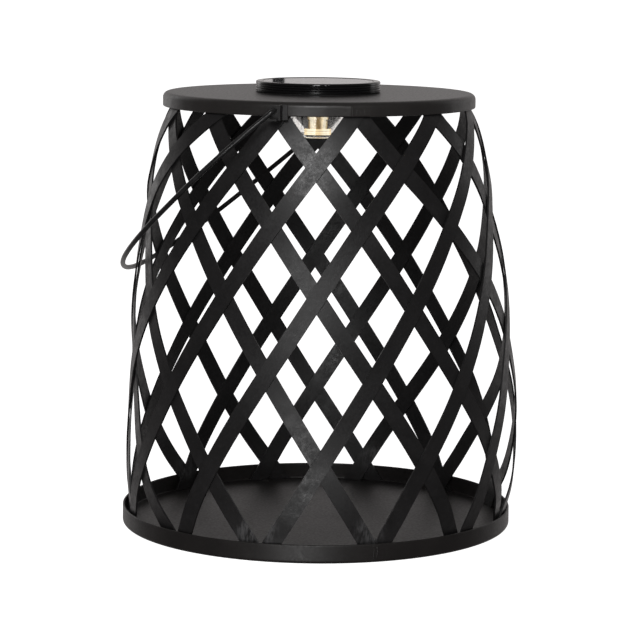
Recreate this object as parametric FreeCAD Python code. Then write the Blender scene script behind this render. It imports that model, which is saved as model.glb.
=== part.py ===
import FreeCAD, Part
import math
import os

V = FreeCAD.Vector
os.makedirs("parts", exist_ok=True)

# ---------------------------------------------------------------------------
# Lattice lantern with a solar light module in its lid.  Millimetres, +Z up.
# Origin: centre of the tray's underside (the plane the lantern stands on).
# The bail's pivot axis runs along Y; at rest the bail hangs towards -X.
# Angles of the strips are measured about +Z from -Y towards +X.
# ---------------------------------------------------------------------------

# driving dimensions
H_LID = 245.8            # top face of the lid
R_LID = 88.0             # lid outside radius
LID_RIM_Z = 237.9        # lower edge of the lid's turned-down rim
R_TRAY = 111.0           # tray outside radius
TRAY_RIM_Z = 10.4        # upper edge of the tray's rim
SHEET = 1.2              # sheet thickness of lid and tray
EDGE_R = 1.8             # outside bend radius of the tray
LID_EDGE_R = 3.2         # outside bend radius of the lid
LID_HOLE_R = 28.4        # hole that takes the light module
MOD_X, MOD_Y = -0.68, -0.18   # the hole and the module sit a little off the axis

STRIP_W = 9.3            # strip width
STRIP_T = 1.0            # strip thickness
LAYER_STEP = 1.25        # radial step from the outer to the inner layer
STRIP_Z0 = SHEET + 0.05  # strips stand on the tray's floor
STRIP_Z1 = H_LID - SHEET - 0.05   # and end under the lid

WIRE_R = 1.4             # bail wire radius
PIVOT_Z = 241.3          # height of the bail's pivot axis
LEG_Y = 96.2             # the bail's legs start this far out along the axis
BAIL_ANGLE = 48.5        # bail plane at rest, degrees out from straight down
PIN_GAP = 0.08           # radial play of the wire in the ears

EAR_T = 1.0              # ear sheet thickness
EAR_Y = 92.8             # inner face of the ear's stand-off plate
EAR_Z0 = 236.0           # lower edge of the ear
EAR_Z1 = 244.2           # upper edge of the ear

BEZEL_R = 35.1           # light module, above the lid
BEZEL_TOP = 252.2
WINDOW_R = 31.1
HOUSING_R = 27.6         # light module, under the lid
HOUSING_Z = 235.3        # underside of the housing
CUP_R = 17.0             # clear lens cup
CUP_Z = 220.6            # underside of the lens cup
FOOT_R = 7.6             # foot of the light core, in the cup's floor

# outer face of the outer layer: height, radius
PROFILE = [(-8.0, 108.7), (0.0, 108.8), (10.4, 109.0), (16.0, 109.8), (23.0, 110.9), (40.0, 111.8), (58.0, 111.8),
           (75.0, 111.3), (100.0, 109.8), (127.0, 107.5), (155.0, 103.7), (175.0, 100.2), (190.0, 98.0),
           (203.0, 95.6), (216.0, 92.7), (223.0, 91.1), (230.0, 89.2), (233.3, 88.1), (238.0, 86.0),
           (246.0, 83.0), (254.0, 80.0)]
# the basket leans out towards its right flank: height, shift
LEAN = [(-8.0, 0.1), (0.0, 0.1), (10.4, 0.3), (22.0, 1.3), (45.0, 2.8), (75.0, 4.1), (95.0, 3.3), (120.0, 2.2),
        (150.0, 1.5), (185.0, 0.6), (215.0, 0.6), (238.0, 0.3), (246.0, 0.2), (254.0, 0.1)]
LEAN_AZ = 104.7          # azimuth that the basket leans towards

# strip courses: azimuth in degrees at the heights in STRIP_Z, one row per strip.
# The courses differ a little from an even 30 degree division, as hand-set strips do.
STRIP_Z = [1.0, 31.5, 62.0, 92.5, 123.1, 153.6, 184.1, 214.7, 245.2]
OUTER = [
    [32.0, 39.9, 49.1, 59.0, 69.0, 78.7, 90.1, 105.1, 125.8],
    [62.5, 69.0, 75.3, 82.5, 92.0, 104.5, 119.6, 136.6, 155.4],
    [87.8, 100.9, 112.2, 122.4, 131.9, 141.7, 152.5, 165.9, 183.6],
    [121.9, 129.5, 138.6, 148.6, 158.9, 169.5, 181.4, 195.9, 215.2],
    [148.6, 158.9, 169.0, 179.1, 189.3, 200.3, 212.4, 226.3, 243.4],
    [175.4, 186.5, 196.8, 206.7, 216.9, 228.1, 240.7, 255.4, 272.9],
    [206.1, 217.2, 227.2, 236.8, 247.5, 260.3, 275.4, 292.5, 311.0],
    [238.0, 250.8, 263.0, 273.8, 282.8, 290.4, 300.2, 316.0, 340.7],
    [277.3, 279.6, 287.2, 298.0, 310.1, 322.2, 335.0, 348.9, 363.6],
    [300.8, 308.3, 317.9, 328.7, 339.7, 350.4, 362.0, 375.5, 391.0],
    [331.4, 338.6, 347.4, 357.3, 367.7, 378.4, 390.8, 406.1, 424.5],
    [359.2, 369.2, 378.7, 388.6, 399.1, 410.6, 423.4, 437.1, 451.3],
]
INNER = [
    [32.5, 22.7, 13.0, 3.0, -7.6, -19.0, -31.9, -46.1, -61.0],
    [60.8, 52.0, 42.4, 32.1, 21.4, 10.3, -2.1, -16.5, -32.1],
    [88.7, 79.7, 69.6, 58.8, 48.0, 37.4, 25.8, 12.1, -3.5],
    [123.3, 112.7, 104.4, 96.3, 86.6, 73.6, 57.9, 41.0, 25.5],
    [151.2, 141.7, 130.2, 118.5, 108.0, 98.8, 88.8, 75.3, 55.8],
    [182.7, 173.1, 162.1, 150.5, 138.7, 126.7, 114.7, 102.6, 90.3],
    [214.2, 204.1, 193.9, 183.6, 172.8, 161.0, 147.7, 132.3, 113.5],
    [243.5, 233.8, 223.5, 212.9, 202.1, 191.0, 178.7, 164.1, 145.1],
    [279.8, 270.1, 258.2, 245.3, 232.8, 221.1, 209.0, 194.1, 173.7],
    [297.0, 294.5, 288.8, 280.1, 268.9, 255.7, 240.9, 224.5, 206.1],
    [329.6, 314.4, 304.7, 297.6, 290.1, 279.9, 267.8, 255.0, 242.3],
    [358.2, 347.7, 336.1, 324.6, 314.4, 306.3, 297.6, 285.0, 265.7],
]


# ---------------------------------------------------------------------------
# helpers
# ---------------------------------------------------------------------------
def save(name, shape):
    if name in MODULE:
        shape = shape.translated(V(MOD_X, MOD_Y, 0))
    if shape.ShapeType != "Solid" and len(shape.Solids) == 1:
        shape = shape.Solids[0]
    shape = shape.removeSplitter() if name not in NO_MERGE else shape
    assert shape.isValid(), name
    shape.exportStep("parts/%s.step" % name)
    print("%-18s solids %d  volume %10.2f" % (name, len(shape.Solids), shape.Volume))


NO_MERGE = set()
MODULE = {"module_bezel", "panel_window", "solar_cell", "module_seal", "module_housing", "lens_cup", "core_cone", "light_core", "led",
          "circuit_board", "battery_cell", "battery_contact_a", "battery_contact_b", "switch_body", "switch_knob"}


def hermite(table, x):
    """Smooth curve through the table's points (x, y)."""
    n = len(table)
    if x <= table[0][0]:
        i = 0
    elif x >= table[-1][0]:
        i = n - 2
    else:
        i = max(j for j in range(n - 1) if table[j][0] <= x)

    def slope(j):
        if j == 0:
            return (table[1][1] - table[0][1]) / (table[1][0] - table[0][0])
        if j == n - 1:
            return (table[-1][1] - table[-2][1]) / (table[-1][0] - table[-2][0])
        h0 = table[j][0] - table[j - 1][0]
        h1 = table[j + 1][0] - table[j][0]
        d0 = (table[j][1] - table[j - 1][1]) / h0
        d1 = (table[j + 1][1] - table[j][1]) / h1
        return (d0 * h1 + d1 * h0) / (h0 + h1)

    x0, y0 = table[i]
    x1, y1 = table[i + 1]
    if x < table[0][0]:
        return y0 + slope(0) * (x - x0)
    if x > table[-1][0]:
        return y1 + slope(n - 1) * (x - x1)
    h = x1 - x0
    t = (x - x0) / h
    m0, m1 = slope(i) * h, slope(i + 1) * h
    return ((2 * t ** 3 - 3 * t ** 2 + 1) * y0 + (t ** 3 - 2 * t ** 2 + t) * m0
            + (-2 * t ** 3 + 3 * t ** 2) * y1 + (t ** 3 - t ** 2) * m1)


def revolve(profile):
    """Revolve a closed (r, z) outline about Z.  A 3-item entry ("arc", (mr, mz), (r, z)) is an arc through m."""
    edges = []
    pts = profile
    cur = pts[0]
    for p in list(pts[1:]) + [pts[0]]:
        if p[0] == "arc":
            mid, end = p[1], p[2]
            edges.append(Part.Arc(V(cur[0], 0, cur[1]), V(mid[0], 0, mid[1]), V(end[0], 0, end[1])).toShape())
            cur = end
        else:
            if abs(p[0] - cur[0]) + abs(p[1] - cur[1]) > 1e-9:
                edges.append(Part.makeLine(V(cur[0], 0, cur[1]), V(p[0], 0, p[1])))
            cur = p
    face = Part.Face(Part.Wire(edges))
    return face.revolve(V(0, 0, 0), V(0, 0, 1), 360)


def arc_mid(cx, cz, r, a0, a1):
    a = math.radians((a0 + a1) / 2.0)
    return (cx + r * math.cos(a), cz + r * math.sin(a))


def box(x0, x1, y0, y1, z0, z1):
    return Part.makeBox(x1 - x0, y1 - y0, z1 - z0, V(x0, y0, z0))


def cyl(r, z0, z1, x=0.0, y=0.0):
    return Part.makeCylinder(r, z1 - z0, V(x, y, z0))


# ---------------------------------------------------------------------------
# lid: flat disc, rounded edge, rim turned down, hole for the light module
# ---------------------------------------------------------------------------
k = LID_EDGE_R - SHEET
lid = revolve([
    (0, H_LID - SHEET), (0, H_LID), (R_LID - LID_EDGE_R, H_LID),
    ("arc", arc_mid(R_LID - LID_EDGE_R, H_LID - LID_EDGE_R, LID_EDGE_R, 90, 0), (R_LID, H_LID - LID_EDGE_R)),
    (R_LID, LID_RIM_Z + SHEET / 2),
    ("arc", (R_LID - SHEET / 2, LID_RIM_Z), (R_LID - SHEET, LID_RIM_Z + SHEET / 2)),
    (R_LID - SHEET, H_LID - LID_EDGE_R),
    ("arc", arc_mid(R_LID - LID_EDGE_R, H_LID - LID_EDGE_R, k, 0, 90), (R_LID - LID_EDGE_R, H_LID - SHEET)),
])
lid = lid.cut(cyl(LID_HOLE_R, H_LID - 3, H_LID + 2, MOD_X, MOD_Y))
save("top_plate", lid)

# ---------------------------------------------------------------------------
# tray: flat floor, rim turned up, small hole for the rivet
# ---------------------------------------------------------------------------
RIVET_R, RIVET_AZ = 103.6, 211.9
rivet_x = RIVET_R * math.sin(math.radians(RIVET_AZ))
rivet_y = -RIVET_R * math.cos(math.radians(RIVET_AZ))
k = EDGE_R - SHEET
tray = revolve([
    (0, 0), (R_TRAY - EDGE_R, 0),
    ("arc", arc_mid(R_TRAY - EDGE_R, EDGE_R, EDGE_R, -90, 0), (R_TRAY, EDGE_R)),
    (R_TRAY, TRAY_RIM_Z - SHEET / 2),
    ("arc", (R_TRAY - SHEET / 2, TRAY_RIM_Z), (R_TRAY - SHEET, TRAY_RIM_Z - SHEET / 2)),
    (R_TRAY - SHEET, EDGE_R),
    ("arc", arc_mid(R_TRAY - EDGE_R, EDGE_R, k, 0, -90), (R_TRAY - EDGE_R, SHEET)),
    (0, SHEET),
])
tray = tray.cut(cyl(1.1, 0.35, 3.0, rivet_x, rivet_y))
save("base_tray", tray)

# small domed rivet head on the tray's floor, near the wall
dome = Part.makeSphere(3.02, V(rivet_x, rivet_y, SHEET + 0.85 - 3.02)).common(cyl(2.3, SHEET, SHEET + 2.0, rivet_x, rivet_y))
save("floor_rivet", dome.fuse(cyl(1.1, 0.35, SHEET, rivet_x, rivet_y)))


# ---------------------------------------------------------------------------
# strips
# ---------------------------------------------------------------------------
def course(row, z):
    return hermite(list(zip(STRIP_Z, row)), z)


def strip_point(row, z, inner):
    az = course(row, z)
    r = (hermite(PROFILE, z) - STRIP_T / 2 - (LAYER_STEP if inner else 0.0)
         + hermite(LEAN, z) * math.cos(math.radians(az - LEAN_AZ)))
    a = math.radians(az)
    return V(r * math.sin(a), -r * math.cos(a), z), a


def strip(row, inner):
    heights = [-7.0, 0.0, 9.0, 18.0, 28.0, 40.0, 53.0, 66.0, 80.0, 94.0, 108.0, 122.0, 136.0, 150.0, 164.0, 178.0,
               191.0, 203.0, 214.0, 224.0, 232.0, 239.0, 246.0, 253.0]
    wires = []
    for z in heights:
        p, a = strip_point(row, z, inner)
        q0, _ = strip_point(row, z - 1.5, inner)
        q1, _ = strip_point(row, z + 1.5, inner)
        t = (q1 - q0).normalize()
        drdz = (hermite(PROFILE, z + 1.5) - hermite(PROFILE, z - 1.5)) / 3.0
        n = V(math.sin(a), -math.cos(a), -drdz).normalize()
        b = t.cross(n).normalize()
        n = b.cross(t).normalize()
        h, w = n * (STRIP_T / 2), b * (STRIP_W / 2)
        wires.append(Part.makePolygon([p + w + h, p - w + h, p - w - h, p + w - h, p + w + h]))
    band = Part.makeLoft(wires, True, False)
    slab = cyl(140, STRIP_Z0, STRIP_Z1)
    return band.common(slab)


for i, row in enumerate(OUTER):
    NO_MERGE.add("outer_strip_%02d" % (i + 1))
    save("outer_strip_%02d" % (i + 1), strip(row, False))
for i, row in enumerate(INNER):
    NO_MERGE.add("inner_strip_%02d" % (i + 1))
    save("inner_strip_%02d" % (i + 1), strip(row, True))


# ---------------------------------------------------------------------------
# ears: a flange on the lid's rim, a joggle, a stand-off plate with the wire's
# hole, and a lip under the wire that the bail's leg comes to rest on
# ---------------------------------------------------------------------------
def front_ear():
    x_in, x_out, x_far = -2.6, 2.2, 5.9
    ring = cyl(R_LID + EAR_T, EAR_Z0, EAR_Z1).cut(cyl(R_LID + 0.02, EAR_Z0 - 1, EAR_Z1 + 1))
    flange = ring.common(box(x_out, x_far, -100, -80, EAR_Z0, EAR_Z1))
    web = box(x_out, x_out + EAR_T, -(EAR_Y + EAR_T), -math.sqrt((R_LID + 0.35) ** 2 - x_out ** 2), EAR_Z0, EAR_Z1)
    plate = box(x_in, x_out + EAR_T, -(EAR_Y + EAR_T), -EAR_Y, EAR_Z0, EAR_Z1)
    lip = box(-2.27, 2.27, -(LEG_Y + 1.7), -EAR_Y, EAR_Z0, EAR_Z0 + EAR_T)
    ear = flange.fuse([web, plate, lip])
    hole = Part.makeCylinder(WIRE_R + PIN_GAP, 8, V(0, -(EAR_Y + EAR_T + 3), PIVOT_Z), V(0, 1, 0))
    return ear.cut(hole)


ear = front_ear()
save("handle_ear_front", ear)
rear = ear.copy()
rear.rotate(V(0, 0, 0), V(0, 0, 1), 180)
save("handle_ear_rear", rear)


# ---------------------------------------------------------------------------
# bail: one bent wire.  Its route lies in a plane through the pivot axis:
# (distance out from the axis, distance along the axis)
# ---------------------------------------------------------------------------
def tube(points, r):
    """Round bar along straight runs joined by tangent arcs."""
    n = len(points)
    ends = []
    edges = []
    prev = points[0]
    for i in range(1, n - 1):
        a, b, c = points[i - 1], points[i], points[i + 1]
        d0, d1 = (a - b), (c - b)
        l0, l1 = d0.Length, d1.Length
        d0.normalize()
        d1.normalize()
        turn = math.pi - d0.getAngle(d1)
        cut = 0.45 * min(l0, l1)
        p0, p1 = b + d0 * cut, b + d1 * cut
        rad = cut / math.tan(turn / 2)
        centre = b + (d0 + d1).normalize() * (rad / math.cos(turn / 2))
        mid = centre + (b - centre).normalize() * rad
        if (p0 - prev).Length > 1e-6:
            edges.append(Part.makeLine(prev, p0))
        edges.append(Part.Arc(p0, mid, p1).toShape())
        ends.append(round(rad, 1))
        prev = p1
    edges.append(Part.makeLine(prev, points[-1]))
    wire = Part.Wire(edges)
    start = (points[1] - points[0]).normalize()
    circle = Part.Wire(Part.makeCircle(r, points[0], start))
    solid = wire.makePipeShell([circle], True, True)
    print("bend radii", ends, " volume / (section x length) %.4f" % (solid.Volume / (math.pi * r * r * wire.Length)))
    return solid


HALF = [(7.0, 97.6), (20.0, 101.6), (38.0, 103.0), (56.0, 100.7), (72.0, 95.6), (86.0, 90.0), (98.5, 84.6), (110.0, 77.6),
        (120.5, 69.2), (130.5, 58.8), (138.6, 46.6), (145.2, 32.4), (149.8, 17.0), (151.9, 0.0)]


def drift(s):
    return 14.0 * (s / 153.0) ** 6       # the round end sits a little towards the rear


u = V(0, -1, 0)                          # along the axis, to the front ear
ang = math.radians(BAIL_ANGLE)
e = V(-math.sin(ang), 0, -math.cos(ang))  # out from the axis, in the bail's plane
pv = V(0, 0, PIVOT_Z)


def bail_pt(s, y):
    return pv + e * s + u * (y - drift(s))


route = [pv + u * (EAR_Y - 1.35), pv + u * LEG_Y]
route += [bail_pt(s, y) for s, y in HALF]
route += [bail_pt(s, -y) for s, y in reversed(HALF[:-1])]
route += [pv - u * LEG_Y, pv - u * (EAR_Y - 1.35)]
bail = tube(route, WIRE_R)
for sgn in (1, -1):
    head = Part.makeCylinder(1.85, 0.9, pv + u * (sgn * (EAR_Y - 0.45)), u * (-sgn))
    bail = bail.fuse(head)
save("bail_handle", bail)

# ---------------------------------------------------------------------------
# light module: bezel with fine grooves round its side, on a seal
# ---------------------------------------------------------------------------
zb0 = 246.6
g = []
z = BEZEL_TOP - 0.9
side = [(BEZEL_R, z)]
for gz in (250.6, 249.3, 248.0):
    side += [(BEZEL_R, gz + 0.28), (BEZEL_R - 0.28, gz), (BEZEL_R, gz - 0.28)]
side += [(BEZEL_R, zb0)]
bezel = revolve([
    (25.8, zb0), (25.8, 247.8), (29.0, 247.8), (29.0, 249.7), (30.8, 249.7), (30.8, 250.5), (WINDOW_R + 0.1, 250.5),
    (WINDOW_R + 0.1, BEZEL_TOP - 0.25), (WINDOW_R + 0.5, BEZEL_TOP), (BEZEL_R - 0.9, BEZEL_TOP),
    ("arc", arc_mid(BEZEL_R - 0.9, BEZEL_TOP - 0.9, 0.9, 90, 0), (BEZEL_R, BEZEL_TOP - 0.9)),
] + side)
notch = box(-0.25, 0.25, -BEZEL_R - 1, -BEZEL_R + 0.35, 247.1, 251.3)
notch.rotate(V(0, 0, 0), V(0, 0, 1), 14.9)
bezel = bezel.cut(notch)
# three screw bosses hang from the bezel's inner ring and stand on the housing's floor
FLOOR_Z = HOUSING_Z + 1.2
SCREWS = [(22.5 * math.sin(math.radians(a)), -22.5 * math.cos(math.radians(a)), a) for a in (60, 180, 300)]
for sx, sy, a in SCREWS:
    bridge = box(-1.6, 1.6, -26.4, -22.0, zb0 + 0.1, 247.8)
    bridge.rotate(V(0, 0, 0), V(0, 0, 1), a)
    bezel = bezel.fuse([cyl(2.7, FLOOR_Z, 247.8, sx, sy), bridge])
for sx, sy, a in SCREWS:
    bezel = bezel.cut(cyl(1.0, FLOOR_Z - 1, FLOOR_Z + 6.5, sx, sy))
save("module_bezel", bezel)

save("module_seal", cyl(34.4, H_LID + 0.05, zb0).cut(cyl(28.6, H_LID - 1, zb0 + 1)))

window = revolve([(0, 250.5), (WINDOW_R, 250.5), (WINDOW_R, BEZEL_TOP - 0.5), (WINDOW_R - 0.3, BEZEL_TOP - 0.2),
                  (0, BEZEL_TOP - 0.2)])
save("panel_window", window)
save("solar_cell", cyl(30.6, 249.7, 250.45))

# housing: open cup under the lid, with holes for the lamp, the switch and three screws
SW_X0, SW_X1 = -3.1, 3.1      # switch slot
SW_Y = -22.2
housing = revolve([
    (0, HOUSING_Z), (HOUSING_R - 1.0, HOUSING_Z),
    ("arc", arc_mid(HOUSING_R - 1.0, HOUSING_Z + 1.0, 1.0, -90, 0), (HOUSING_R, HOUSING_Z + 1.0)),
    (HOUSING_R, zb0), (HOUSING_R - 1.4, zb0), (HOUSING_R - 1.4, FLOOR_Z), (0, FLOOR_Z),
])
for px, py in ((-11.5, -17.2), (11.5, -17.2), (-11.5, -0.6), (11.5, -0.6)):
    housing = housing.fuse(cyl(1.5, FLOOR_Z, 238.2, px, py))      # stand-offs for the board
housing = housing.cut(cyl(2.7, 230, 245))
housing = housing.cut(box(SW_X0, SW_X1, SW_Y - 1.3, SW_Y + 1.3, 230, 245))
for sx, sy, a in SCREWS:
    housing = housing.cut(cyl(1.05, 230, 240, sx, sy))
save("module_housing", housing)

# three equal pan-head screws with cross recesses
screws = []
for sx, sy, a in SCREWS:
    head = cyl(1.9, HOUSING_Z - 1.2, HOUSING_Z, sx, sy)
    head = head.makeFillet(0.5, [ed for ed in head.Edges if abs(ed.BoundBox.ZMax - (HOUSING_Z - 1.2)) < 1e-6])
    one = head.fuse(cyl(0.95, HOUSING_Z, FLOOR_Z + 5.5, sx, sy))
    one = one.cut(box(sx - 1.2, sx + 1.2, sy - 0.22, sy + 0.22, HOUSING_Z - 1.4, HOUSING_Z - 0.7))
    one = one.cut(box(sx - 0.22, sx + 0.22, sy - 1.2, sy + 1.2, HOUSING_Z - 1.4, HOUSING_Z - 0.7))
    screws += one.removeSplitter().translated(V(MOD_X, MOD_Y, 0)).Solids
comp = Part.makeCompound(screws)
assert comp.isValid() and len(comp.Solids) == 3
comp.exportStep("parts/housing_screws.step")
print("%-18s solids %d  volume %10.2f" % ("housing_screws", len(comp.Solids), comp.Volume))

# slide switch: its knob comes out through a slot in the housing's floor
switch = box(-4.3, 4.3, SW_Y - 2.6, SW_Y + 2.6, FLOOR_Z, FLOOR_Z + 4.0)
switch = switch.cut(box(-3.6, 3.6, SW_Y - 2.0, SW_Y + 2.0, FLOOR_Z - 1, FLOOR_Z + 1.9))
save("switch_body", switch)
stem = box(-2.6, -0.4, SW_Y - 1.0, SW_Y + 1.0, HOUSING_Z - 1.4, FLOOR_Z + 0.9)
stem = stem.makeFillet(0.3, [ed for ed in stem.Edges if abs(ed.BoundBox.ZMax - (HOUSING_Z - 1.4)) < 1e-6])
knob = stem.fuse(box(-3.2, 0.2, SW_Y - 1.7, SW_Y + 1.7, FLOOR_Z + 0.35, FLOOR_Z + 1.5))
save("switch_knob", knob)

# clear lens cup under the housing
cup = revolve([
    (FOOT_R + 0.1, CUP_Z), (CUP_R - 3.0, CUP_Z),
    ("arc", arc_mid(CUP_R - 3.0, CUP_Z + 1.6, 1.6, -90, 0), (CUP_R - 1.4, CUP_Z + 1.6)),
    (CUP_R, HOUSING_Z - 1.2), (19.0, HOUSING_Z - 1.2), (19.0, HOUSING_Z), (CUP_R - 1.2, HOUSING_Z),
    (CUP_R - 2.6, CUP_Z + 1.9), (CUP_R - 3.5, CUP_Z + 1.0), (FOOT_R + 0.1, CUP_Z + 1.0),
])
save("lens_cup", cup)

# warm light core: ribbed column on a wider foot that closes the cup's floor, with a pocket for the LED
core = cyl(5.35, 225.0, 233.5)
for i in range(10):
    a = math.radians(36 * i + 14.7)
    core = core.fuse(cyl(0.6, 225.0, 233.5, 5.3 * math.sin(a), -5.3 * math.cos(a)))
core = core.fuse(revolve([(0, CUP_Z + 0.05), (FOOT_R - 0.2, CUP_Z + 0.05), (FOOT_R, CUP_Z + 0.25), (FOOT_R, 222.6), (FOOT_R - 0.25, 222.8),
                          (FOOT_R, 223.0), (FOOT_R, 224.9), (FOOT_R - 0.4, 225.3), (0, 225.3)]))
core = core.cut(cyl(2.8, 229.0, 234.0))
save("light_core", core)

# clear cone round the column, from the foot up to the housing
cone = revolve([
    (6.05, 225.4), (7.4, 225.4), (12.6, 231.0), (13.4, HOUSING_Z), (6.05, HOUSING_Z),
])
save("core_cone", cone)

led = cyl(2.5, 233.0, 238.2).fuse(Part.makeSphere(2.5, V(0, 0, 233.0)))
save("led", led)

# circuit board over the LED, rechargeable cell beside it, a contact at each end of the cell
save("circuit_board", box(-14, 14, -19.4, 1.5, 238.2, 239.4))
CELL_Y, CELL_Z = 8.2, FLOOR_Z + 5.15
cell = Part.makeCylinder(5.1, 28.5, V(-14.25, CELL_Y, CELL_Z), V(1, 0, 0))
cell = cell.fuse(Part.makeCylinder(1.9, 0.9, V(14.25, CELL_Y, CELL_Z), V(1, 0, 0)))
save("battery_cell", cell)
save("battery_contact_a", box(15.15, 15.65, CELL_Y - 3.2, CELL_Y + 3.2, FLOOR_Z, CELL_Z + 3.5))
save("battery_contact_b", box(-14.75, -14.25, CELL_Y - 3.2, CELL_Y + 3.2, FLOOR_Z, CELL_Z + 3.5))
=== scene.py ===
import bpy
import bmesh
import math
import random
from mathutils import Vector, Matrix


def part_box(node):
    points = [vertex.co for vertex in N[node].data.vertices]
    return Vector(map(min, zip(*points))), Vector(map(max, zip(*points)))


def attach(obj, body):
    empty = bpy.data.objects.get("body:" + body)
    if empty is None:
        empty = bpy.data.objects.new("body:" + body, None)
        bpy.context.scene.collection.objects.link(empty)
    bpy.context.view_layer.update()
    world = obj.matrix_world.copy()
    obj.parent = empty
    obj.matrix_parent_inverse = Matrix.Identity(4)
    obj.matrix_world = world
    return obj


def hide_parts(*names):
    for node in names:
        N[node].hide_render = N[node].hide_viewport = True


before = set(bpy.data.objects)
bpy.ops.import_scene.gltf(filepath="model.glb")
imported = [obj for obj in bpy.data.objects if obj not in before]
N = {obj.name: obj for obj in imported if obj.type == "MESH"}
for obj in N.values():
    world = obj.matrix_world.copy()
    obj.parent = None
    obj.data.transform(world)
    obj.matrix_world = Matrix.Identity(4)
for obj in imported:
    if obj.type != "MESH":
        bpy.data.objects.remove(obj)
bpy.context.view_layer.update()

random.seed(7)

# ---------------------------------------------------------------------------
# camera: solved from the lid's and the tray's outlines
# ---------------------------------------------------------------------------
AZ = math.radians(14.7)
PITCH = math.radians(8.444)
YAW = math.radians(0.0745)
ROLL = math.radians(0.51)
right0 = Vector((math.cos(AZ), math.sin(AZ), 0))
away0 = Vector((-math.sin(AZ), math.cos(AZ), 0))
h = away0 * math.cos(YAW) + right0 * math.sin(YAW)
right1 = right0 * math.cos(YAW) - away0 * math.sin(YAW)
up = Vector((0, 0, 1))
fwd = h * math.cos(PITCH) - up * math.sin(PITCH)
upc = h * math.sin(PITCH) + up * math.cos(PITCH)
cr = right1 * math.cos(ROLL) + upc * math.sin(ROLL)
cu = upc * math.cos(ROLL) - right1 * math.sin(ROLL)
cam_data = bpy.data.cameras.new("camera")
cam = bpy.data.objects.new("camera", cam_data)
bpy.context.scene.collection.objects.link(cam)
cam.matrix_world = Matrix((
    (cr.x, cu.x, -fwd.x, 1.50755 * math.sin(AZ)),
    (cr.y, cu.y, -fwd.y, -1.50755 * math.cos(AZ)),
    (cr.z, cu.z, -fwd.z, 0.33968),
    (0, 0, 0, 1)))
cam_data.sensor_width = 36.0
cam_data.lens = 36.0 * 2671.75 / 640.0
cam_data.shift_x = -0.00125
cam_data.clip_start, cam_data.clip_end = 0.05, 50.0
bpy.context.scene.camera = cam


# ---------------------------------------------------------------------------
# node helpers
# ---------------------------------------------------------------------------
class Mat:
    """Small builder for a procedural material."""

    def __init__(self, name):
        self.m = bpy.data.materials.new(name)
        self.m.use_nodes = True
        self.t = self.m.node_tree
        self.t.nodes.clear()
        self.out = self.add("ShaderNodeOutputMaterial")
        self.p = self.add("ShaderNodeBsdfPrincipled")
        self.link(self.p.outputs[0], self.out.inputs[0])
        self.co = self.add("ShaderNodeTexCoord").outputs["Object"]

    def add(self, kind, **kw):
        n = self.t.nodes.new(kind)
        for k, v in kw.items():
            setattr(n, k, v)
        return n

    def link(self, a, b):
        self.t.links.new(a, b)

    def noise(self, scale, detail=3.0, rough=0.55, co=None, dist=0.0):
        n = self.add("ShaderNodeTexNoise")
        n.inputs["Scale"].default_value = scale
        n.inputs["Detail"].default_value = detail
        n.inputs["Roughness"].default_value = rough
        n.inputs["Distortion"].default_value = dist
        self.link(co if co is not None else self.co, n.inputs["Vector"])
        return n.outputs["Fac"]

    def voronoi(self, scale, feature="F1", co=None):
        n = self.add("ShaderNodeTexVoronoi", feature=feature)
        n.inputs["Scale"].default_value = scale
        self.link(co if co is not None else self.co, n.inputs["Vector"])
        return n.outputs["Distance"]

    def ramp(self, fac, a, b, va=0.0, vb=1.0):
        """Value that goes from va to vb as fac goes from a to b."""
        n = self.add("ShaderNodeMapRange", interpolation_type="SMOOTHSTEP")
        n.inputs["From Min"].default_value = a
        n.inputs["From Max"].default_value = b
        n.inputs["To Min"].default_value = va
        n.inputs["To Max"].default_value = vb
        self.link(fac, n.inputs["Value"])
        return n.outputs["Result"]

    def math(self, op, a, b=None, c=None):
        n = self.add("ShaderNodeMath", operation=op)
        for i, v in enumerate((a, b, c)):
            if v is None:
                continue
            if isinstance(v, (int, float)):
                n.inputs[i].default_value = v
            else:
                self.link(v, n.inputs[i])
        return n.outputs[0]

    def mix(self, fac, a, b):
        n = self.add("ShaderNodeMix", data_type="RGBA")
        for i, v in ((0, fac), (6, a), (7, b)):
            if isinstance(v, (int, float)):
                n.inputs[i].default_value = v
            elif isinstance(v, tuple):
                n.inputs[i].default_value = (*v, 1.0) if len(v) == 3 else v
            else:
                self.link(v, n.inputs[i])
        return n.outputs[2]

    def xyz(self):
        n = self.add("ShaderNodeSeparateXYZ")
        self.link(self.co, n.inputs[0])
        return n.outputs

    def scaled(self, s, rot=(0, 0, 0)):
        n = self.add("ShaderNodeMapping")
        n.inputs["Scale"].default_value = s
        n.inputs["Rotation"].default_value = rot
        self.link(self.co, n.inputs["Vector"])
        return n.outputs[0]

    def bump(self, height, dist, strength=1.0, normal=None):
        n = self.add("ShaderNodeBump")
        n.inputs["Strength"].default_value = strength
        n.inputs["Distance"].default_value = dist
        self.link(height, n.inputs["Height"])
        if normal is not None:
            self.link(normal, n.inputs["Normal"])
        return n.outputs[0]

    def set(self, **kw):
        for k, v in kw.items():
            s = self.p.inputs[k.replace("_", " ")]
            if isinstance(v, (int, float)):
                s.default_value = v
            elif isinstance(v, tuple):
                s.default_value = (*v, 1.0) if len(v) == 3 and s.type == "RGBA" else v
            else:
                self.link(v, s)
        return self


def edge_wear(m, radius=0.0006):
    """Pointiness-like mask from a bevelled normal: 1 along sharp edges."""
    b = m.add("ShaderNodeBevel", samples=4)
    b.inputs["Radius"].default_value = radius
    g = m.add("ShaderNodeNewGeometry")
    d = m.add("ShaderNodeVectorMath", operation="DOT_PRODUCT")
    m.link(b.outputs[0], d.inputs[0])
    m.link(g.outputs["Normal"], d.inputs[1])
    return m.ramp(d.outputs["Value"], 0.995, 0.93, 0.0, 1.0)


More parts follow.
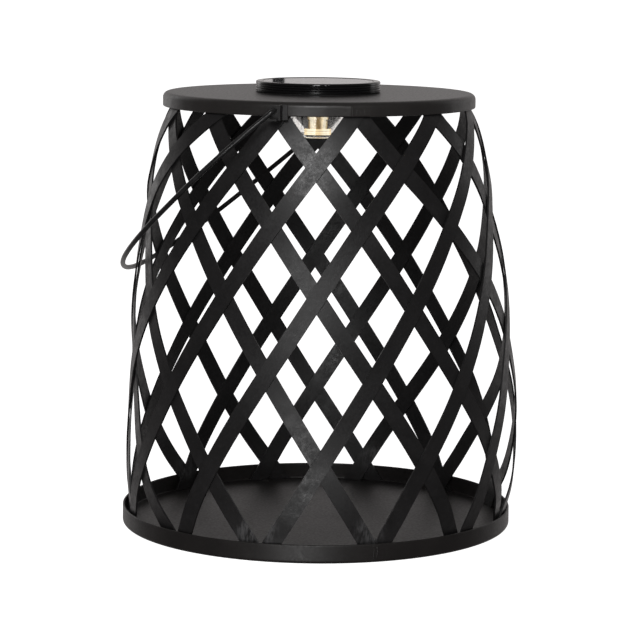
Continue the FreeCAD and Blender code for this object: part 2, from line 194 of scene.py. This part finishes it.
def near(m, centre, radius, soft):
    """1 inside a ball round a point of the object, falling to 0 over soft metres."""
    d = m.add("ShaderNodeVectorMath", operation="DISTANCE")
    d.inputs[1].default_value = centre
    m.link(m.co, d.inputs[0])
    return m.ramp(d.outputs["Value"], radius, radius + soft, 1.0, 0.0)


def powder_coat(name, base, rough, grain=1.0, speckle=0.0, wear=0.0, scuffs_and_highlights=(), spec=0.5, cloud=0.5, dust=0.0,
                mottle=0.0):
    """Sprayed and baked powder paint: fine orange peel, a slow drift of tone, lighter scuffed patches round given
    points (some of them painted highlight) and worn arrises.
    """
    m = Mat(name)
    fine = m.noise(2100.0, 2.0, 0.6)
    mid = m.noise(700.0, 3.0, 0.6)
    big = m.noise(38.0, 3.0, 0.55)
    dark = tuple(c * (1.0 - 0.22 * cloud) for c in base)
    light = tuple(min(1.0, c * (1.0 + 0.35 * cloud)) for c in base)
    col = m.mix(m.ramp(big, 0.35, 0.68), dark, light)
    if speckle:
        col = m.mix(m.math("MULTIPLY", m.ramp(fine, 0.58, 0.74), speckle), col, tuple(min(1.0, c * 2.6 + 0.03) for c in base))
    if dust:
        up = m.add("ShaderNodeNewGeometry")
        sep = m.add("ShaderNodeSeparateXYZ")
        m.link(up.outputs["Normal"], sep.inputs[0])
        d = m.math("MULTIPLY", m.ramp(sep.outputs[2], 0.75, 0.98), m.ramp(m.noise(24.0, 4.0, 0.6), 0.38, 0.72))
        specks = m.ramp(m.noise(900.0, 2.0, 0.7), 0.60, 0.72)
        d = m.math("MULTIPLY", d, m.math("ADD", m.math("MULTIPLY", specks, 0.6), 0.4))
        col = m.mix(m.math("MULTIPLY", d, dust), col, (0.16, 0.15, 0.14))
    r = m.ramp(mid, 0.3, 0.7, rough - 0.05, rough + 0.06)
    if mottle:
        blot = m.noise(170.0, 5.0, 0.68)
        r = m.math("ADD", r, m.ramp(blot, 0.36, 0.66, 0.07 * mottle, -0.05 * mottle))
        col = m.mix(m.math("MULTIPLY", m.ramp(blot, 0.46, 0.72), 0.5 * mottle), col, tuple(c * 2.2 + 0.004 for c in base))
    # lighter patches round the given points: scuff marks, and painted highlight where a point stands for the front
    # light's highlight
    for centre, radius, amount in scuffs_and_highlights:
        streak = m.ramp(m.noise(520.0, 3.0, 0.65, co=m.scaled((1.0, 1.0, 0.22))), 0.36, 0.66)
        f = m.math("MULTIPLY", m.math("MULTIPLY", near(m, centre, radius * 0.35, radius), streak), amount)
        col = m.mix(f, col, (0.17, 0.168, 0.172))
    if wear:
        w = m.math("MULTIPLY", edge_wear(m, 0.0004), m.ramp(m.noise(260.0, 4.0, 0.7), 0.56, 0.74))
        w = m.math("MULTIPLY", w, wear)
        col = m.mix(w, col, (0.11, 0.105, 0.10))
    n1 = m.bump(mid, 0.00008 * grain, 0.5)
    n2 = m.bump(fine, 0.00005 * grain, 0.6, n1)
    m.set(Base_Color=col, Roughness=r, Normal=n2)
    m.p.inputs["Specular IOR Level"].default_value = spec
    return m.m


# ---------------------------------------------------------------------------
# materials
# ---------------------------------------------------------------------------
def at(az, r, z):
    """Point at an azimuth (about +Z from -Y towards +X, degrees), a radius and a height in millimetres."""
    t = math.radians(az)
    return (r * math.sin(t) / 1000.0, -r * math.cos(t) / 1000.0, z / 1000.0)


# lighter patches on the strips just above the tray: scuff marks, except the two strongest front ones (-1.5 and -5.5
# degrees), which are painted highlight where the front light falls on the strip feet
STRIP_FOOT_SCUFFS_AND_HIGHLIGHT = ((at(-1.5, 109.0, 19.0), 0.010, 0.75), (at(-5.5, 109.0, 14.0), 0.007, 0.5), (at(30.0, 109.0, 17.0), 0.009, 0.42),
        (at(88.0, 110.0, 18.0), 0.008, 0.35), (at(176.0, 107.0, 16.0), 0.009, 0.4), (at(242.0, 107.0, 15.0), 0.008, 0.35))
M_lid = powder_coat("powder_lid", (0.027, 0.0245, 0.0235), 0.37, grain=0.8, speckle=0.2, wear=0.15, cloud=0.35, dust=0.10)
M_tray = powder_coat("powder_tray", (0.0150, 0.0130, 0.0125), 0.43, grain=0.8, speckle=0.2, wear=0.12, cloud=0.6, dust=0.11)
M_strip = powder_coat("powder_strip", (0.0125, 0.0118, 0.0122), 0.385, grain=1.15, speckle=0.40, wear=0.10, scuffs_and_highlights=STRIP_FOOT_SCUFFS_AND_HIGHLIGHT, cloud=0.8,
                      mottle=1.0)
M_ear = powder_coat("powder_ear", (0.0150, 0.0142, 0.0145), 0.40, grain=0.8, speckle=0.2, wear=0.3)


def wire_paint():
    m = Mat("wire_paint")
    grain = m.noise(1500.0, 3.0, 0.6)
    runs = m.noise(160.0, 3.0, 0.6)
    col = m.mix(m.ramp(runs, 0.4, 0.7), (0.012, 0.012, 0.0125), (0.024, 0.0235, 0.024))
    m.set(Base_Color=col, Roughness=m.ramp(grain, 0.3, 0.7, 0.27, 0.40),
          Normal=m.bump(grain, 0.00003, 0.5, m.bump(runs, 0.00012, 0.35)))
    return m.m


M_wire = wire_paint()


def steel(name, base=(0.46, 0.45, 0.43), rough=0.34):
    m = Mat(name)
    g = m.noise(900.0, 4.0, 0.65)
    col = m.mix(m.ramp(g, 0.35, 0.7), tuple(c * 0.75 for c in base), base)
    m.set(Base_Color=col, Metallic=1.0, Roughness=m.ramp(g, 0.3, 0.7, rough - 0.08, rough + 0.1),
          Normal=m.bump(g, 0.00002, 0.5))
    return m.m


M_steel = steel("plated_steel")
M_rivet = steel("rivet_steel", (0.20, 0.19, 0.18), 0.42)
M_contact = steel("contact_plate", (0.70, 0.68, 0.62), 0.25)


def plastic(name, base, rough=0.4, bump=0.00004, scale=900.0, spec=0.5):
    m = Mat(name)
    g = m.noise(scale, 3.0, 0.6)
    cloud = m.noise(45.0, 2.0)
    col = m.mix(m.ramp(cloud, 0.35, 0.7), tuple(c * 0.86 for c in base), tuple(min(1, c * 1.12) for c in base))
    m.set(Base_Color=col, Roughness=m.ramp(g, 0.3, 0.7, rough - 0.05, rough + 0.06), Normal=m.bump(g, bump, 0.5))
    m.p.inputs["Specular IOR Level"].default_value = spec
    return m.m


M_module = plastic("module_black", (0.012, 0.012, 0.013), 0.36)
M_knob = plastic("knob_black", (0.016, 0.016, 0.017), 0.45)
M_seal = plastic("seal_black", (0.014, 0.014, 0.014), 0.75, 0.00005)
M_sleeve = plastic("cell_sleeve", (0.02, 0.16, 0.06), 0.28, 0.00002)
M_board = plastic("solder_mask", (0.008, 0.09, 0.03), 0.32, 0.00002)


def gloss_black():
    """Polished black moulding with faint swirl scratches and a film of dust."""
    m = Mat("bezel_gloss")
    dust = m.ramp(m.noise(1300.0, 2.0, 0.7), 0.62, 0.78)
    film = m.noise(70.0, 3.0)
    scr = m.noise(420.0, 5.0, 0.75, co=m.scaled((1.0, 6.0, 1.0), (0, 0, 0.6)))
    col = m.mix(m.math("MULTIPLY", dust, 0.35), (0.006, 0.006, 0.0065), (0.06, 0.058, 0.056))
    r = m.math("ADD", m.ramp(film, 0.35, 0.7, 0.09, 0.15), m.math("MULTIPLY", m.ramp(scr, 0.55, 0.75), 0.05))
    m.set(Base_Color=col, Roughness=r, Normal=m.bump(scr, 0.000004, 0.35))
    m.p.inputs["Specular IOR Level"].default_value = 0.55
    return m.m


M_bezel = gloss_black()


def window_plastic():
    """Clear hard panel window: glossy, tinted by what lies under it."""
    m = Mat("panel_window")
    film = m.noise(60.0, 3.0)
    dust = m.ramp(m.noise(1100.0, 2.0, 0.7), 0.64, 0.80)
    scr = m.noise(500.0, 5.0, 0.75, co=m.scaled((5.0, 1.0, 1.0), (0, 0, -0.4)))
    r = m.math("ADD", m.ramp(film, 0.35, 0.7, 0.02, 0.06), m.math("MULTIPLY", m.ramp(scr, 0.58, 0.76), 0.04))
    col = m.mix(m.math("MULTIPLY", dust, 0.5), (0.90, 0.92, 0.95), (0.62, 0.60, 0.58))
    m.set(Base_Color=col, Roughness=r, Normal=m.bump(scr, 0.000003, 0.3))
    m.p.inputs["Transmission Weight"].default_value = 1.0
    m.p.inputs["IOR"].default_value = 1.52
    return m.m


M_window = window_plastic()


def lens_plastic():
    """Clear moulding, a little grey and hazy, with flow lines."""
    m = Mat("lens_clear")
    film = m.noise(240.0, 3.0)
    flow = m.noise(150.0, 3.0, 0.5, co=m.scaled((1.0, 1.0, 0.3)))
    m.set(Base_Color=m.mix(m.ramp(film, 0.3, 0.7), (0.90, 0.885, 0.87), (0.80, 0.785, 0.77)),
          Roughness=m.ramp(film, 0.35, 0.7, 0.03, 0.14), Normal=m.bump(flow, 0.00035, 0.5))
    m.p.inputs["Transmission Weight"].default_value = 1.0
    m.p.inputs["IOR"].default_value = 1.49
    return m.m


M_lens = lens_plastic()


def cell_material():
    """Dark silicon with fine silver fingers printed across it."""
    m = Mat("solar_cell")
    x, y, z = m.xyz()
    tri = m.math("PINGPONG", m.math("ADD", x, 1.0), 0.00125)
    finger = m.ramp(tri, 0.00009, 0.00015, 1.0, 0.0)
    g = m.voronoi(130.0)
    col = m.mix(m.ramp(g, 0.1, 0.8), (0.004, 0.008, 0.030), (0.010, 0.018, 0.060))
    col = m.mix(finger, col, (0.30, 0.30, 0.30))
    m.set(Base_Color=col, Roughness=m.ramp(m.noise(500.0), 0.3, 0.7, 0.22, 0.34), Metallic=0.0)
    return m.m


M_cell = cell_material()


CORE_LO, CORE_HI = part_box("light_core")
CX, CY = (CORE_LO.x + CORE_HI.x) / 2, (CORE_LO.y + CORE_HI.y) / 2


def core_material():
    """Warm translucent core lit from inside: bright lobes between darker gold ribs, a cream foot and a brown base line."""
    m = Mat("core_glow")
    x, y, z = m.xyz()
    az = m.math("ARCTAN2", m.math("SUBTRACT", x, CX), m.math("SUBTRACT", CY, y))
    lobe = m.math("COSINE", m.math("MULTIPLY", m.math("SUBTRACT", az, math.radians(54.7)), 5.0))
    fine = m.noise(520.0, 3.0, 0.6, co=m.scaled((1.0, 1.0, 0.15)))
    lobe = m.math("ADD", lobe, m.math("MULTIPLY", m.math("SUBTRACT", fine, 0.5), 1.6))
    body = m.mix(m.ramp(lobe, -0.85, 0.25), (0.27, 0.19, 0.085), (0.95, 0.79, 0.48))
    body = m.mix(m.ramp(lobe, 0.10, 0.85), body, (1.0, 0.94, 0.75))
    foot = m.mix(m.ramp(lobe, -0.9, 0.6), (0.86, 0.70, 0.42), (1.0, 0.93, 0.72))
    col = m.mix(m.ramp(z, 0.2252, 0.2256), foot, body)
    # thin darker lines where the foot steps, and the brown base line
    for z0, w, amount in ((0.22415, 0.00012, 0.50), (0.22280, 0.00008, 0.42), (0.22070, 0.00030, 0.85)):
        line = m.ramp(m.math("ABSOLUTE", m.math("SUBTRACT", z, z0)), w, w * 2.0, 1.0, 0.0)
        col = m.mix(m.math("MULTIPLY", line, amount), col, (0.10, 0.055, 0.018))
    # the upper end dips into shade along a wavy line
    wave = m.math("MULTIPLY", m.math("SINE", m.math("MULTIPLY", az, 6.0)), 0.00035)
    shade = m.ramp(m.math("ADD", z, wave), 0.2322, 0.2338, 1.0, 0.0)
    col = m.mix(shade, (0.040, 0.022, 0.010), col)
    m.set(Base_Color=m.mix(0.5, (0.25, 0.18, 0.08), col), Roughness=m.ramp(fine, 0.3, 0.7, 0.18, 0.30), Emission_Color=col)
    m.p.inputs["Emission Strength"].default_value = 1.15
    return m.m


M_core = core_material()


def led_material():
    m = Mat("led_lit")
    g = m.noise(600.0, 2.0)
    m.set(Base_Color=(1.0, 0.93, 0.72), Roughness=m.ramp(g, 0.3, 0.7, 0.05, 0.12), Emission_Color=(1.0, 0.86, 0.55),
          Emission_Strength=6.0)
    return m.m


M_led = led_material()

BY_NODE = {
    "top_plate": M_lid, "base_tray": M_tray, "floor_rivet": M_rivet, "bail_handle": M_wire,
    "handle_ear_front": M_ear, "handle_ear_rear": M_ear, "module_bezel": M_bezel, "panel_window": M_window,
    "solar_cell": M_cell, "module_seal": M_seal, "module_housing": M_module, "lens_cup": M_lens,
    "core_cone": M_lens, "light_core": M_core, "led": M_led, "circuit_board": M_board,
    "battery_cell": M_sleeve, "battery_contact_a": M_contact, "battery_contact_b": M_contact,
    "switch_body": M_module, "switch_knob": M_knob, "housing_screws": M_steel,
}
for name, o in N.items():
    mat = BY_NODE.get(name, M_strip)
    if len(o.material_slots) == 0:
        o.data.materials.append(mat)
    for s in o.material_slots:
        s.material = mat


def bevel(o, width, segments=2, angle=35.0):
    b = o.modifiers.new("bevel", "BEVEL")
    b.width = width
    b.segments = segments
    b.limit_method = "ANGLE"
    b.angle_limit = math.radians(angle)
    b.harden_normals = False
    b.use_clamp_overlap = True


def spin(name, body, material, rings, segments, hub=None, smooth_angle=32.0):
    """Closed surface swept round the axis.  rings(i, az) gives (x, y, z) in metres of ring i at an azimuth; the last ring
    joins the first unless hub gives the two points that close the ends."""
    n = rings.count
    bm = bmesh.new()
    grid = []
    for i in range(n):
        grid.append([bm.verts.new(rings(i, math.tau * k / segments)) for k in range(segments)])
    last = n if hub is None else n - 1
    for i in range(last):
        p, q = grid[i], grid[(i + 1) % n]
        for k in range(segments):
            j = (k + 1) % segments
            bm.faces.new((p[k], p[j], q[j], q[k]))
    if hub is not None:
        for ring, point, flip in ((grid[0], hub[0], True), (grid[-1], hub[1], False)):
            c = bm.verts.new(point)
            for k in range(segments):
                j = (k + 1) % segments
                bm.faces.new((c, ring[j], ring[k]) if flip else (c, ring[k], ring[j]))
    bmesh.ops.recalc_face_normals(bm, faces=bm.faces)
    me = bpy.data.meshes.new(name)
    bm.to_mesh(me)
    bm.free()
    me.materials.append(material)
    for p in me.polygons:
        p.use_smooth = True
    o = bpy.data.objects.new(name, me)
    bpy.context.scene.collection.objects.link(o)
    me.set_sharp_from_angle(angle=math.radians(smooth_angle))
    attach(o, body)
    return o


def arc_pts(cr, cz, r, a0, a1, n):
    return [(cr + r * math.cos(math.radians(a0 + (a1 - a0) * i / n)), cz + r * math.sin(math.radians(a0 + (a1 - a0) * i / n)))
            for i in range(n + 1)]


def wrap(a):
    return (a + math.pi) % math.tau - math.pi


def ring_wall(az, radius, seam, flat_l, flat_r, waves):
    """Radius of a rolled sheet ring: slightly uneven, with the two ends meeting in a faint peak at the seam."""
    d = math.degrees(wrap(az - math.radians(seam)))
    r = radius
    for k, amp, ph in waves:
        r += amp * math.sin(k * az + ph)
    if -2 * flat_l < d <= 0:
        t = d + flat_l
        r += radius * (1 / math.cos(math.radians(max(t, 0.0))) - 1)
    elif 0 < d < 2 * flat_r:
        t = flat_r - d
        r += radius * (1 / math.cos(math.radians(max(t, 0.0))) - 1)
    return r


# ---------------------------------------------------------------------------
# lid: the same pressed sheet as the frame's, with the small unevenness of a
# rolled and seam-welded rim
# ---------------------------------------------------------------------------
LID_LO, LID_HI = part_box("top_plate")
R_LID = LID_HI.x
LID_TOP = LID_HI.z
RIM_LOW = LID_LO.z
SHEET = 0.0012
HOLE_R = 0.0284
LID_EDGE = 0.0032
WAVES_LID = ((3, 0.00005, 0.4), (7, 0.00004, 1.9), (17, 0.00003, 0.3), (41, 0.000018, 2.2), (67, 0.000010, 1.1))
LID_SEAM = 26.2


class LidRings:
    def __init__(self):
        out = [(HOLE_R, LID_TOP, 1.0)]
        for t in (0.02, 0.25, 0.5, 0.75, 0.97):
            out.append((HOLE_R + (R_LID - LID_EDGE - HOLE_R) * t, LID_TOP, 1.0 - t))
        out += [(r, z, 0.0) for r, z in arc_pts(R_LID - LID_EDGE, LID_TOP - LID_EDGE, LID_EDGE, 90, 0, 12)]
        zs = (LID_TOP - LID_EDGE - 0.0006, LID_TOP - LID_EDGE - 0.0018, RIM_LOW + 0.0018, RIM_LOW + 0.0009)
        out += [(R_LID, z, 0.0) for z in zs]
        out += [(r, z, 0.0) for r, z in arc_pts(R_LID - SHEET / 2, RIM_LOW + SHEET / 2, SHEET / 2, 0, -180, 6)]
        inner = [(R_LID - SHEET, z, 0.0) for z in reversed(zs)]
        out += inner
        out += [(r, z, 0.0) for r, z in arc_pts(R_LID - LID_EDGE, LID_TOP - LID_EDGE, LID_EDGE - SHEET, 0, 90, 8)]
        for t in (0.97, 0.6, 0.3, 0.02):
            out.append((HOLE_R + (R_LID - LID_EDGE - HOLE_R) * t, LID_TOP - SHEET, 1.0 - t))
        out.append((HOLE_R, LID_TOP - SHEET, 1.0))
        self.p = out
        self.count = len(out)

    def __call__(self, i, az):
        r, z, off = self.p[i]
        k = max(0.0, min(1.0, (r - (R_LID - LID_EDGE)) / LID_EDGE))
        if k > 0:
            down = max(0.0, min(1.0, (LID_TOP - z) / 0.004))
            r += (ring_wall(az, R_LID, LID_SEAM, 6.0, 4.0, WAVES_LID) - R_LID) * k * (0.25 + 0.75 * down)
        x, y = r * math.sin(az), -r * math.cos(az)
        # the pressed top has a barely visible swell and dip
        if z > LID_TOP - SHEET * 1.5:
            z -= 0.00006 * (1 + math.sin(2 * az + 0.8)) * min(1.0, r / R_LID) * (1 if off < 0.95 else 0)
        return (x + CX * off, y + CY * off, z)


lid = spin("lid", "lantern", M_lid, LidRings(), 720)
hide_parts("top_plate")


def bead(name, body, material, az, r_of, z0, z1, width, proud, steps=26, seed=1):
    """Dressed weld line up a rim: a low uneven ridge that runs between two heights."""
    rnd = random.Random(seed)
    bm = bmesh.new()
    rows = []
    across = (-1.0, -0.6, -0.2, 0.2, 0.6, 1.0)
    for i in range(steps + 1):
        t = i / steps
        z = z0 + (z1 - z0) * t
        wob = 0.00012 * math.sin(9.0 * t + seed) + rnd.uniform(-0.00005, 0.00005)
        end = min(1.0, 8 * t, 8 * (1 - t))
        h = proud * (0.75 + 0.25 * math.sin(31 * t + seed)) * end
        row = []
        for c in across:
            a = math.radians(az) + (c * width / 2 + wob) / r_of
            r = r_of + h * (1 - c * c) - 0.00012 * (1 if abs(c) > 0.9 else 0)
            row.append(bm.verts.new((r * math.sin(a), -r * math.cos(a), z)))
        rows.append(row)
    back = []
    for i in range(steps + 1):
        z = z0 + (z1 - z0) * i / steps
        row = []
        for c in across:
            a = math.radians(az) + c * width / 2 / r_of
            r = r_of - 0.0004
            row.append(bm.verts.new((r * math.sin(a), -r * math.cos(a), z)))
        back.append(row)
    m = len(across)
    for i in range(steps):
        for j in range(m - 1):
            bm.faces.new((rows[i][j], rows[i][j + 1], rows[i + 1][j + 1], rows[i + 1][j]))
            bm.faces.new((back[i][j + 1], back[i][j], back[i + 1][j], back[i + 1][j + 1]))
        bm.faces.new((back[i][0], rows[i][0], rows[i + 1][0], back[i + 1][0]))
        bm.faces.new((rows[i][m - 1], back[i][m - 1], back[i + 1][m - 1], rows[i + 1][m - 1]))
    for j in range(m - 1):
        bm.faces.new((rows[0][j + 1], rows[0][j], back[0][j], back[0][j + 1]))
        bm.faces.new((rows[-1][j], rows[-1][j + 1], back[-1][j + 1], back[-1][j]))
    bmesh.ops.recalc_face_normals(bm, faces=bm.faces)
    me = bpy.data.meshes.new(name)
    bm.to_mesh(me)
    bm.free()
    me.materials.append(material)
    for p in me.polygons:
        p.use_smooth = True
    me.set_sharp_from_angle(angle=math.radians(40))
    o = bpy.data.objects.new(name, me)
    bpy.context.scene.collection.objects.link(o)
    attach(o, body)
    return o


seam_r = ring_wall(math.radians(LID_SEAM), R_LID, LID_SEAM, 6.0, 4.0, WAVES_LID)
lid_weld = bead("lid_rim_weld", "lantern", M_lid, LID_SEAM + 0.15, seam_r - 0.0001, RIM_LOW + 0.0004, LID_TOP - LID_EDGE, 0.0009, 0.00012, seed=3)
for i, (da, pr) in enumerate(((1.7, 0.00010), (3.1, 0.00008), (4.6, 0.00008), (6.3, 0.00006))):
    mark = bead("lid_rim_tool_mark_%d" % (i + 1), "lantern", M_lid, LID_SEAM + da,
                ring_wall(math.radians(LID_SEAM + da), R_LID, LID_SEAM, 6.0, 4.0, WAVES_LID) - 0.00004,
                RIM_LOW + 0.0010, LID_TOP - LID_EDGE - 0.0006, 0.0008, pr, seed=11 + i)

# ---------------------------------------------------------------------------
# tray: same sheet, rim rolled and welded at one seam
# ---------------------------------------------------------------------------
TRAY_LO, TRAY_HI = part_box("base_tray")
R_TRAY = TRAY_HI.x
TRAY_TOP = TRAY_HI.z
TRAY_EDGE = 0.0018
TRAY_SEAM = 31.6
WAVES_TRAY = ((2, 0.00007, 1.2), (5, 0.00005, 0.2), (13, 0.00003, 1.3), (37, 0.000016, 0.5), (59, 0.000010, 2.6))


class TrayRings:
    def __init__(self):
        out = [(R_TRAY * t, 0.0) for t in (0.05, 0.3, 0.6, 0.85, 0.95)]
        out += arc_pts(R_TRAY - TRAY_EDGE, TRAY_EDGE, TRAY_EDGE, -90, 0, 8)
        zs = (TRAY_EDGE + 0.0007, TRAY_EDGE + 0.0020, TRAY_TOP - 0.0022, TRAY_TOP - 0.0011)
        out += [(R_TRAY, z) for z in zs]
        out += arc_pts(R_TRAY - SHEET / 2, TRAY_TOP - SHEET / 2, SHEET / 2, 0, 180, 8)
        out += [(R_TRAY - SHEET, z) for z in reversed(zs)]
        out += arc_pts(R_TRAY - TRAY_EDGE, TRAY_EDGE, TRAY_EDGE - SHEET, 0, -90, 5)
        out += [(R_TRAY * t, SHEET) for t in (0.965, 0.9, 0.8, 0.65, 0.5, 0.3, 0.15, 0.05)]
        self.p = out
        self.count = len(out)

    def __call__(self, i, az):
        r, z = self.p[i]
        k = max(0.0, min(1.0, (r - (R_TRAY - TRAY_EDGE)) / TRAY_EDGE))
        if k > 0:
            lift = max(0.0, min(1.0, (z - 0.001) / 0.006))
            r += (ring_wall(az, R_TRAY, TRAY_SEAM, 3.2, 3.2, WAVES_TRAY) - R_TRAY) * k * (0.3 + 0.7 * lift)
        x, y = r * math.sin(az), -r * math.cos(az)
        # thin floor sheet: shallow dishing from the rim's weld heat
        if SHEET * 0.9 < z < SHEET * 1.1:
            z += 0.00010 * math.sin(3 * az + 0.5) * math.sin(math.pi * min(1.0, r / R_TRAY)) - 0.00008
        return (x, y, z)


tray = spin("tray", "lantern", M_tray, TrayRings(), 720, hub=((0, 0, 0), (0, 0, SHEET - 0.00008)))
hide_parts("base_tray")
for i, (az, pr, w) in enumerate(((TRAY_SEAM - 0.35, 0.00022, 0.0009), (TRAY_SEAM + 0.55, 0.00026, 0.0010))):
    tw = bead("tray_rim_weld_%d" % (i + 1), "lantern", M_tray, az,
              ring_wall(math.radians(az), R_TRAY, TRAY_SEAM, 3.2, 3.2, WAVES_TRAY) - 0.00005,
              TRAY_EDGE + 0.0002, TRAY_TOP - 0.0008, w, pr, seed=21 + i)


# ---------------------------------------------------------------------------
# floor, light
# ---------------------------------------------------------------------------
def floor():
    """Pale ground that the camera sees evenly lit.  It throws no light back onto the lantern."""
    me = bpy.data.meshes.new("floor")
    s = 12.0
    me.from_pydata([(-s, -s, 0), (s, -s, 0), (s, s, 0), (-s, s, 0)], [], [(0, 1, 2, 3)])
    o = bpy.data.objects.new("floor", me)
    bpy.context.scene.collection.objects.link(o)
    m = Mat("floor_pale")
    g = m.noise(3.0, 2.0)
    m.set(Base_Color=m.mix(g, (0.90, 0.90, 0.90), (0.93, 0.93, 0.93)), Roughness=0.9, Emission_Color=(1.0, 1.0, 1.0),
          Emission_Strength=1.0)
    m.p.inputs["Specular IOR Level"].default_value = 0.1
    me.materials.append(m.m)
    o.visible_glossy = False
    o.visible_diffuse = False
    o.visible_shadow = False


floor()

world = bpy.data.worlds.new("studio")
bpy.context.scene.world = world
world.use_nodes = True
wt = world.node_tree
wt.nodes.clear()
wo = wt.nodes.new("ShaderNodeOutputWorld")
bg_cam = wt.nodes.new("ShaderNodeBackground")
bg_cam.inputs["Color"].default_value = (1, 1, 1, 1)
bg_cam.inputs["Strength"].default_value = 1.05
bg = wt.nodes.new("ShaderNodeBackground")
bg.inputs["Color"].default_value = (1.0, 0.955, 0.945, 1)
lp = wt.nodes.new("ShaderNodeLightPath")
mx = wt.nodes.new("ShaderNodeMixShader")
wt.links.new(lp.outputs["Is Camera Ray"], mx.inputs[0])
wt.links.new(bg.outputs[0], mx.inputs[1])
wt.links.new(bg_cam.outputs[0], mx.inputs[2])
wt.links.new(mx.outputs[0], wo.inputs[0])
# bright behind and above, dimmer on the near side
tc = wt.nodes.new("ShaderNodeTexCoord")
dot = wt.nodes.new("ShaderNodeVectorMath")
dot.operation = "DOT_PRODUCT"
dot.inputs[1].default_value = tuple(away0)
wt.links.new(tc.outputs["Generated"], dot.inputs[0])
mr = wt.nodes.new("ShaderNodeMapRange")
mr.interpolation_type = "SMOOTHSTEP"
mr.inputs["From Min"].default_value = 0.25
mr.inputs["From Max"].default_value = 0.93
mr.inputs["To Min"].default_value = 0.085
mr.inputs["To Max"].default_value = 0.55
wt.links.new(dot.outputs["Value"], mr.inputs["Value"])
# a dark upright stand behind the table, seen only as a thin reflection
def wdot(v):
    n = wt.nodes.new("ShaderNodeVectorMath")
    n.operation = "DOT_PRODUCT"
    n.inputs[1].default_value = tuple(v)
    wt.links.new(tc.outputs["Generated"], n.inputs[0])
    return n.outputs["Value"]


def wmath(op, a, b):
    n = wt.nodes.new("ShaderNodeMath")
    n.operation = op
    for i, v in enumerate((a, b)):
        if isinstance(v, (int, float)):
            n.inputs[i].default_value = v
        else:
            wt.links.new(v, n.inputs[i])
    return n.outputs[0]


side_ = wmath("DIVIDE", wdot(right1), wmath("MAXIMUM", wdot(h), 0.05))
off_ = wmath("ABSOLUTE", wmath("ADD", side_, 0.0166), 0.0)
gap_ = wt.nodes.new("ShaderNodeMapRange")
gap_.inputs["From Min"].default_value = 0.0021
gap_.inputs["From Max"].default_value = 0.0024
gap_.inputs["To Min"].default_value = 0.0
gap_.inputs["To Max"].default_value = 1.0
wt.links.new(off_, gap_.inputs["Value"])
wt.links.new(wmath("MULTIPLY", mr.outputs[0], gap_.outputs[0]), bg.inputs["Strength"])


def softbox(name, azimuth, elevation, distance, sx, sy, power, target=(0, 0, 0.13), colour=(1, 1, 1)):
    """Area light; azimuth is measured as for the views, 0 on the -Y side."""
    a, e = math.radians(azimuth), math.radians(elevation)
    back = Vector((math.sin(a) * math.cos(e), -math.cos(a) * math.cos(e), math.sin(e)))
    d = bpy.data.lights.new(name, "AREA")
    d.shape = "RECTANGLE"
    d.size, d.size_y = sx, sy
    d.energy = power
    d.color = colour
    o = bpy.data.objects.new(name, d)
    o.location = Vector(target) + back * distance
    o.rotation_mode = "QUATERNION"
    o.rotation_quaternion = (-back).to_track_quat("-Z", "Y")
    bpy.context.scene.collection.objects.link(o)
    return o


softbox("front_low", 5.5, -11, 2.0, 0.38, 0.66, 6.1)
softbox("front_high", 10.0, 28, 2.0, 0.42, 0.85, 14.5)
softbox("fill_right", 136, 12, 1.8, 0.5, 1.2, 0.95)
softbox("fill_left", -126, 12, 1.8, 0.5, 1.2, 1.2)

sc = bpy.context.scene
sc.view_settings.view_transform = "Standard"
sc.view_settings.look = "None"
sc.view_settings.exposure = 0.0
sc.view_settings.gamma = 1.0

for n, o in N.items():
    if "_strip_" in n:
        bevel(o, 0.00022, 2)
